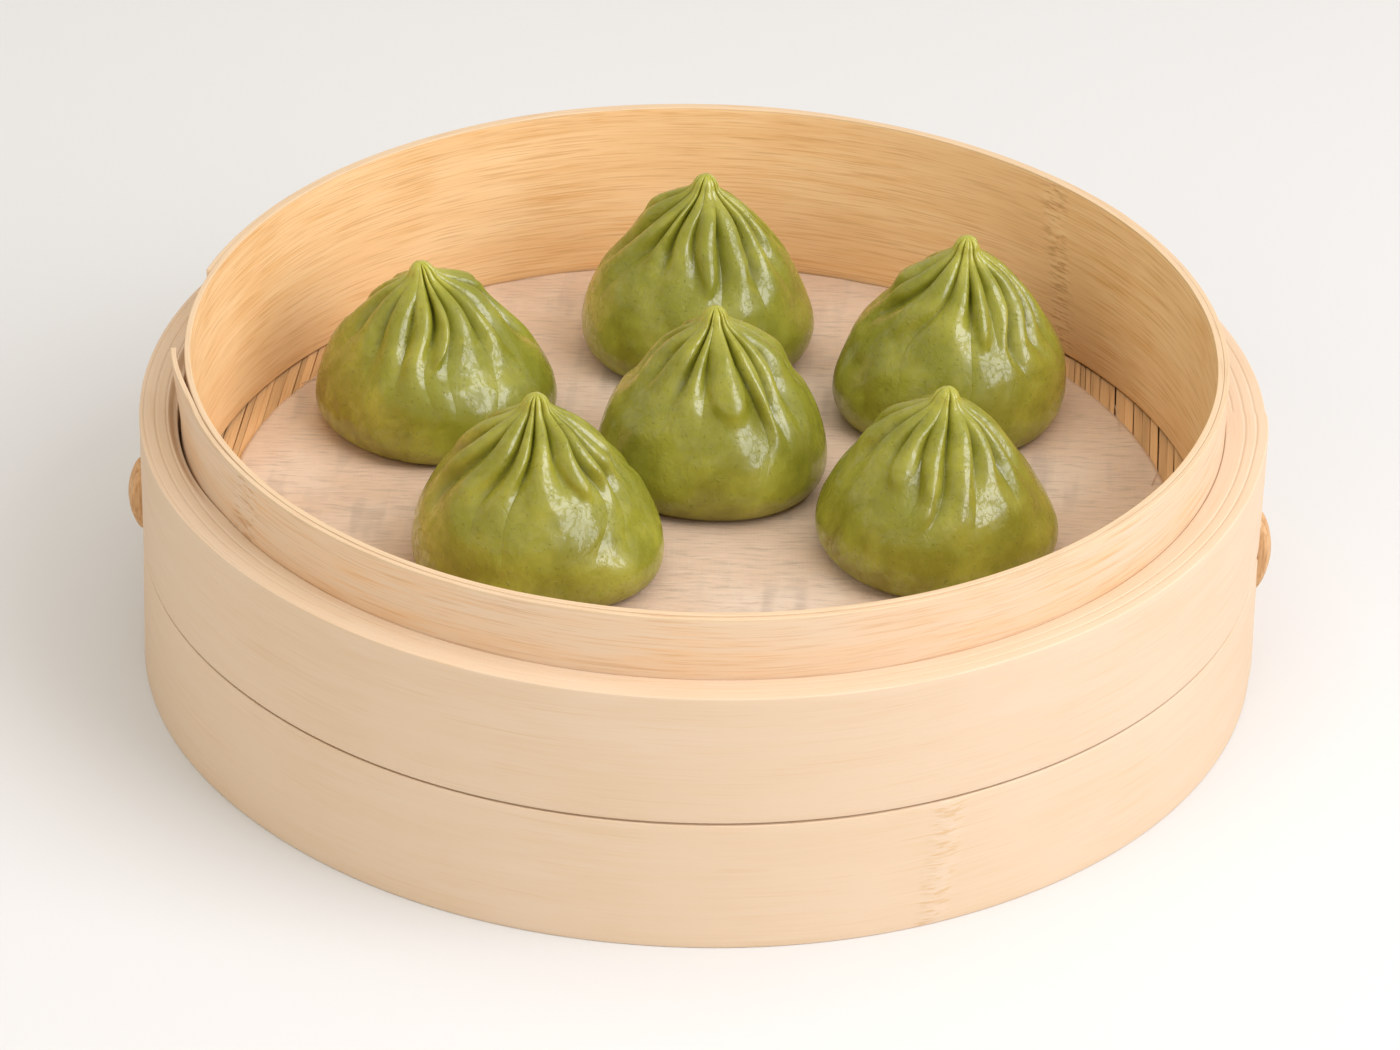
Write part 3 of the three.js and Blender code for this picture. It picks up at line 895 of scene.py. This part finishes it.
def pleat_columns(plan, level, swirl, rng):
    """The grid's columns: shares across the pleat, angles, and the plans of this pleat and the next.

    The creases turn with the level and sway by three slow waves over it.
    """
    count = len(plan["start"])
    pleat = np.repeat(np.arange(count), ACROSS)
    after = (pleat + 1) % count
    across = np.tile(0.5 - 0.5 * np.cos(math.pi * np.arange(ACROSS) / ACROSS), count)[:, None]
    sway = rng.uniform(-1, 1, (count, 3))
    sway = (np.roll(sway, 1, 0) + 2 * sway + np.roll(sway, -1, 0)) * np.array([0.06, 0.045, 0.03])
    wave = np.sin(np.multiply.outer(np.array([1.5, 3, 4.5]) * math.pi, level[0]))
    crease_angle = plan["start"][:, None] + sway @ wave + swirl * level ** 1.4
    here = crease_angle[pleat]
    there = crease_angle[after] + np.where(after == 0, TURN, 0)[:, None]
    this, following = [{title: values[index][:, None] for title, values in plan.items()}
                       for index in (pleat, after)]
    return across, here + across * (there - here), this, following


def body_radius(level):
    """Radius of the smooth body, of its widest: a rounded foot, full shoulders and a drawn-in neck."""
    drop = np.clip(1 - level / BELLY, 0, 1)
    foot = FOOT_RATIO + (1 - FOOT_RATIO) * np.sqrt(1 - drop ** 2)
    rise = np.clip((level - BELLY) / (1 - BELLY), 0, 1)
    neck = bell(rise - 0.94, 0.09)
    return np.where(level < BELLY, foot, (1 - rise ** SHOULDER) * (1 - PINCH * neck))


def unsettled(body, angle, level, settings, rng):
    """The body with slow waves round it, soft bulges and hollows, and small steps in its shoulders."""
    for turns in (2, 3, 4):
        size, phase, rise = rng.uniform(0.006, 0.013), rng.uniform(0, TURN), rng.uniform(2, 5)
        body = body * (1 + size * np.cos(turns * angle + phase + rise * level))
    for _ in range(BULGES):
        away, above = turn_between(angle, rng.uniform(0, TURN)), level - rng.uniform(0.15, 0.72)
        hump = bell(away, rng.uniform(0.2, 0.5)) * bell(above, rng.uniform(0.08, 0.16))
        body = body + settings.bulge * rng.uniform(-0.8, 1.0) * hump
    for _ in range(SMALL_STEPS):
        away, above = turn_between(angle, rng.uniform(0, TURN)), level - rng.uniform(0.45, 0.86)
        step = bell(away, 0.3) * smoothstep(above, 0.05, -0.03) * smoothstep(above, -0.3, 0)
        body = body + settings.step * rng.uniform(0.3, 1.0) * step
    return body


def pleat_relief(across, level, this, following, settings):
    """How far the crests raise the body and how far the creases cut it.

    A crest is a skewed hump over the share across the pleat, and a flap ends in a curved edge. A
    crease is a sharp groove on both sides of its line. Crests and creases fade out at their own
    levels, a ghost of the crest runs on to the foot, and near the tip closed pleats run together.
    """
    peak = across ** this["skew"]
    hump = np.clip(4 * peak * (1 - peak), 0, 1) ** this["round"]
    closing = smoothstep(level, 0.74, 0.92)
    later = smoothstep(across, 0.3, 0.7)
    closed = (this["closed"] * (1 - later) + following["closed"] * later) * closing * 0.85
    fade = this["end"] + 0.16 * (2 * across - 1) ** 2 * this["flap"] - 0.02
    strength = smoothstep(level, fade, fade + this["soft"])
    ghost = 0.14 * smoothstep(level, 0.12, 0.45)
    crest = settings.crest * this["crest"] + settings.flap * this["flap"]
    raised = crest * (strength * (1 - ghost) + ghost) * (hump + (1 - hump) * closed)
    width = 0.15 + 0.17 * (1 - smoothstep(level, 0.5, 0.82))
    cut = 0
    for pleat, distance in ((this, across), (following, 1 - across)):
        fade = pleat["end"] - 0.04
        reach = smoothstep(level, fade, fade + 0.26) * (1 - 0.85 * pleat["closed"] * closing)
        cut = cut + settings.crease * pleat["crease"] * reach * bell(distance, width, 1.7)
    return raised, cut


def dumpling(node, settings, material):
    """A pleated pouch: radius as a function of the angle and the share of the height.

    The radius is the smooth body, unsettled, with a shoulder and a flared side, plus the crests
    and less the creases, which shrink with the body towards the neck. The fourth root of the sum
    of fourth powers joins the body to the dome of the tip. The axis leans towards the tip by the
    square of the level, and rings of points close the flat foot.
    """
    seed, count, flare_side, flare, shoulder, flap_place = DUMPLINGS[node]
    rng = np.random.default_rng(seed)
    plan = pleat_plan(count, *flap_place, rng)
    low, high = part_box(node)
    corners = node_points(node)
    middle = corners[corners[:, 2] < low.z + 0.01 * MM].mean(0)
    lean = corners[corners[:, 2].argmax()] - middle

    foot_rows = BELLY * (1 - np.cos(np.linspace(0, math.pi / 2, FOOT_ROWS)))
    upper_rows = BELLY + (1 - BELLY) * (1 - (1 - np.linspace(0, 1, UPPER_ROWS)[1:]) ** 1.6)
    level = np.concatenate([foot_rows, upper_rows])[None, :]
    across, angle, this, following = pleat_columns(plan, level, settings.swirl, rng)

    nib_level = np.clip((level - 1) * (high.z - low.z) / settings.nib_height + 1, 0, 1)
    nib = settings.nib_radius * np.sqrt(1 - nib_level ** 2)
    body = ((body_radius(level) * (high.y - low.y) / 2) ** 4 + nib ** 4) ** 0.25
    body = unsettled(body, angle, level, settings, rng)
    away = turn_between(angle, math.radians(shoulder[0]))
    body = body + shoulder[2] * MM * bell(away, 0.6) * bell(level - shoulder[1], 0.075)
    away = turn_between(angle, math.radians(flare_side))
    skirt = bell(away, 0.55) * (1 - smoothstep(level + 0.06 * np.cos(3 * away), 0.24, 0.44))
    body = body + flare * MM * skirt

    raised, cut = pleat_relief(across, level, this, following, settings)
    room = np.minimum(1, 0.42 * body / (settings.crest + settings.crease))
    sunk = 0.45 * settings.crest * smoothstep(level, 0.4, 0.6)
    radius = np.maximum(body + (raised - sunk - cut) * room, 0.15 * MM)
    radius[:, -1] = POLE_RADIUS

    x = middle[0] + radius * np.cos(angle) + lean[0] * level ** 2
    y = middle[1] + radius * np.sin(angle) + lean[1] * level ** 2
    foot = low.z - PRESSED
    z = foot + level * (high.z - foot) + 0 * radius
    grid = np.stack([x, y, z], -1)
    centre = np.array([middle[0], middle[1], foot])
    under = centre + (grid[:, :1] - centre) * np.linspace(0.05, 0.95, FOOT_RINGS)[None, :, None]
    points, polygons = closed_skin(np.concatenate([under, grid], 1))

    def carried(values):
        rows = np.broadcast_to(values, grid.shape[:2])
        skin = np.concatenate([np.repeat(rows[:, :1], FOOT_RINGS, 1), rows], 1).ravel()
        return np.append(skin, [rows[0, 0], rows[-1, -1]])

    attributes = {
        # How deep the creases are: it masks the painted shade in them.
        "crease": carried(np.clip((cut - 0.5 * raised) / settings.crease, 0, 1)),
        "level": carried(level),
        # 1 on the side away from the key light: it masks the brown skin, which is partly painted shade.
        "side": carried(0.5 + 0.5 * np.cos(angle - BROAD_SIDE)),
    }
    return add_piece(node.replace("dumpling", "soup_dumpling"), points, polygons, [node], "dough",
                     material, attributes)


# ---- the stage ------------
LIGHT_AIM = Vector((0, 0, 0.03))


def soft_light(name, place, size, power, tint, mirrored=False):
    """An oblong area light that faces the basket. Wet skins mirror it only if it is mirrored."""
    lamp = bpy.data.lights.new(name, "AREA")
    lamp.shape = "RECTANGLE"
    lamp.size, lamp.size_y = size
    lamp.energy = power
    lamp.color = tint
    light = add_object(name, lamp)
    light.location = place
    light.rotation_euler = (LIGHT_AIM - Vector(place)).to_track_quat("-Z", "Y").to_euler()
    light.visible_glossy = mirrored


def stage_floor(settings):
    """A wide plain floor just under the basket's foot."""
    half, under = 6.0, -0.02 * MM
    corners = [(x * half, y * half, under) for x, y in [(-1, -1), (1, -1), (1, 1), (-1, 1)]]
    mesh = bpy.data.meshes.new("stage_floor")
    mesh.from_pydata(corners, [], [(0, 1, 2, 3)])
    place, finish = start_material("stage_floor", {"Roughness": 0.9, "Specular IOR Level": 0.1})
    darker = [0.98 * part for part in settings.floor]
    mesh.materials.append(finish({"Base Color": place.noise(3.0, 2.0).tint(settings.floor, darker)}))
    add_object("stage_floor", mesh)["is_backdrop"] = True


def room_light(settings):
    """An even, faintly warm light from all round."""
    world = bpy.data.worlds.new("room")
    world.use_nodes = True
    backdrop = world.node_tree.nodes["Background"]
    backdrop.inputs["Color"].default_value = (1.0, 0.94, 0.87, 1.0)
    backdrop.inputs["Strength"].default_value = settings.room
    bpy.context.scene.world = world


def camera(settings):
    """A long lens that looks down on the basket from the front."""
    lens = bpy.data.cameras.new("camera")
    lens.lens, lens.sensor_width = settings.lens, 36.0
    lens.clip_start, lens.clip_end = 0.01, 50.0
    holder = add_object("camera", lens)
    tilt = Matrix.Rotation(math.pi / 2 - settings.pitch, 4, "X")
    roll = Matrix.Rotation(settings.roll, 4, "Z")
    holder.matrix_world = Matrix.Translation((0, -settings.back, settings.up)) @ tilt @ roll
    bpy.context.scene.camera = holder


# ---- operators ------------
OUTER_KNOTS = [(math.radians(-65.4), 12.0, 0.12, 4.2)]
INNER_KNOTS = [(math.radians(44.0), 52.0, 0.16, 4.6)]
STRIP_KNOTS = [(math.radians(-146.0), 57.0, 0.1, 6.0)]
STRIP_START, STRIP_END = math.radians(-175.5), math.radians(166.6)


class DUMPLINGS_OT_hoops(bpy.types.Operator):
    """Build the two stacked hoops of the basket's wall"""
    bl_idname = "dumplings.hoops"
    bl_label = "Hoops"

    def execute(self, context):
        settings = context.scene.steamer_basket
        tones = settings.pale, settings.warm, settings.honey
        lower = bamboo("lower_hoop_bamboo", *tones, streaks=0.22, contrast=0.5, knots=OUTER_KNOTS)
        upper = bamboo("upper_hoop_bamboo", *tones, streaks=0.22, contrast=0.5)
        hoop("lower_wall", "lower_hoop", settings, lower, OUTER_KNOTS, wound=False)
        hoop("upper_wall", "upper_hoop", settings, upper, [], wound=True)
        return {"FINISHED"}


class DUMPLINGS_OT_lip(bpy.types.Operator):
    """Build the two thin strips of the lip"""
    bl_idname = "dumplings.lip"
    bl_label = "Lip"

    def execute(self, context):
        settings = context.scene.steamer_basket
        _, outside, _, top, oval = lip_size()
        inner = bamboo("inner_strip_bamboo", settings.inner_pale, settings.inner_warm, settings.streak,
                       streaks=0.18, contrast=0.78, knots=INNER_KNOTS,
                       rim=(top / MM - 0.3, settings.rim),
                       back=(oval, outside / MM - 0.5, settings.pale))
        outer = bamboo("outer_strip_bamboo", settings.pale, settings.inner_warm, settings.streak,
                       streaks=0.22, contrast=0.5, knots=STRIP_KNOTS,
                       rim=(top / MM - 0.7, settings.rim))
        lip_inner(settings, inner)
        lip_outer(settings, outer, STRIP_START, STRIP_END)
        return {"FINISHED"}


class DUMPLINGS_OT_floor(bpy.types.Operator):
    """Build the floor splints, the bars under them and the ledge that carries them"""
    bl_idname = "dumplings.floor"
    bl_label = "Basket floor"

    def execute(self, context):
        settings = context.scene.steamer_basket
        splints = lath("splint_bamboo", settings.splint, settings.streak, SLAT_TURN)
        bars = lath("bar_bamboo", settings.splint, settings.streak, SLAT_TURN + math.pi / 2)
        floor_splints(settings, splints)
        floor_bars(settings, bars)
        tones = settings.pale, settings.warm, settings.streak
        ledge_ring(settings, bamboo("ledge_bamboo", *tones, streaks=0.3, contrast=1.0))
        return {"FINISHED"}


class DUMPLINGS_OT_lashings(bpy.types.Operator):
    """Build the cane lashings on both sides"""
    bl_idname = "dumplings.lashings"
    bl_label = "Lashings"

    def execute(self, context):
        settings = context.scene.steamer_basket
        material = cane("lashing_cane", settings.cane, settings.streak)
        lashing("cane_left", "lashing_left", material, 61)
        lashing("cane_right", "lashing_right", material, 62)
        return {"FINISHED"}


class DUMPLINGS_OT_liner(bpy.types.Operator):
    """Build the cloth liner and its loose threads"""
    bl_idname = "dumplings.liner"
    bl_label = "Liner"

    def execute(self, context):
        settings = context.scene.steamer_liner
        material = liner_cloth("liner_cloth", settings, SLAT_TURN)
        piece, flat, area = cloth_liner(settings, material)
        threads = loose_threads(material)
        return {"FINISHED"}


class DUMPLINGS_OT_dumplings(bpy.types.Operator):
    """Build the six pleated dumplings"""
    bl_idname = "dumplings.dumplings"
    bl_label = "Dumplings"

    def execute(self, context):
        settings = context.scene.steamer_dumplings
        for number, node in enumerate(DUMPLINGS):
            dumpling(node, settings, dough(node + "_dough", settings, number))
        return {"FINISHED"}


class DUMPLINGS_OT_stage(bpy.types.Operator):
    """Set the floor, the light and the camera"""
    bl_idname = "dumplings.stage"
    bl_label = "Stage"

    def execute(self, context):
        settings = context.scene.steamer_stage
        stage_floor(settings)
        room_light(settings)
        soft_light("key_light", (0.88, -0.46, 0.74), (0.95, 1.15), settings.key, (1, 1, 1.07), mirrored=True)
        soft_light("top_light", (0.1, 0.0, 1.2), (1.2, 1.2), settings.top, (1.0, 0.98, 0.96))
        soft_light("front_light", (-0.68, -0.84, 0.70), (1.2, 0.8), settings.fill, (1.0, 0.96, 0.89))
        camera(settings)
        context.scene.view_settings.view_transform = "Standard"
        return {"FINISHED"}


class DUMPLINGS_PT_panel(bpy.types.Panel):
    """Lists the steps that build the dumplings and their basket"""
    bl_label = "Soup dumplings"
    bl_idname = "DUMPLINGS_PT_panel"
    bl_space_type = "VIEW_3D"
    bl_region_type = "UI"
    bl_category = "Dumplings"

    def draw(self, context):
        for step in STEPS:
            self.layout.operator(step.bl_idname)
        for title in SETTINGS:
            group = getattr(context.scene, title)
            box = self.layout.box()
            for name in group.__annotations__:
                box.prop(group, name)


SETTINGS = {
    "steamer_basket": BasketSettings,
    "steamer_liner": LinerSettings,
    "steamer_dumplings": DumplingSettings,
    "steamer_stage": StageSettings,
}
STEPS = [
    DUMPLINGS_OT_stage,
    DUMPLINGS_OT_hoops,
    DUMPLINGS_OT_lip,
    DUMPLINGS_OT_floor,
    DUMPLINGS_OT_lashings,
    DUMPLINGS_OT_liner,
    DUMPLINGS_OT_dumplings,
]
CLASSES = [*SETTINGS.values(), *STEPS, DUMPLINGS_PT_panel]


def register():
    for part in CLASSES:
        bpy.utils.register_class(part)
    for title, group in SETTINGS.items():
        setattr(bpy.types.Scene, title, PointerProperty(type=group))


def unregister():
    for title in SETTINGS:
        delattr(bpy.types.Scene, title)
    for part in reversed(CLASSES):
        bpy.utils.unregister_class(part)


def main():
    """Registers the add-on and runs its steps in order."""
    register()
    for step in STEPS:
        getattr(bpy.ops.dumplings, step.bl_idname.split(".")[1])()
    boxes = {"cad": CAD_BOX, "visual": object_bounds()}
    {name: [list(corner) for corner in box] for name, box in boxes.items()}


if __name__ == "__main__":
    main()
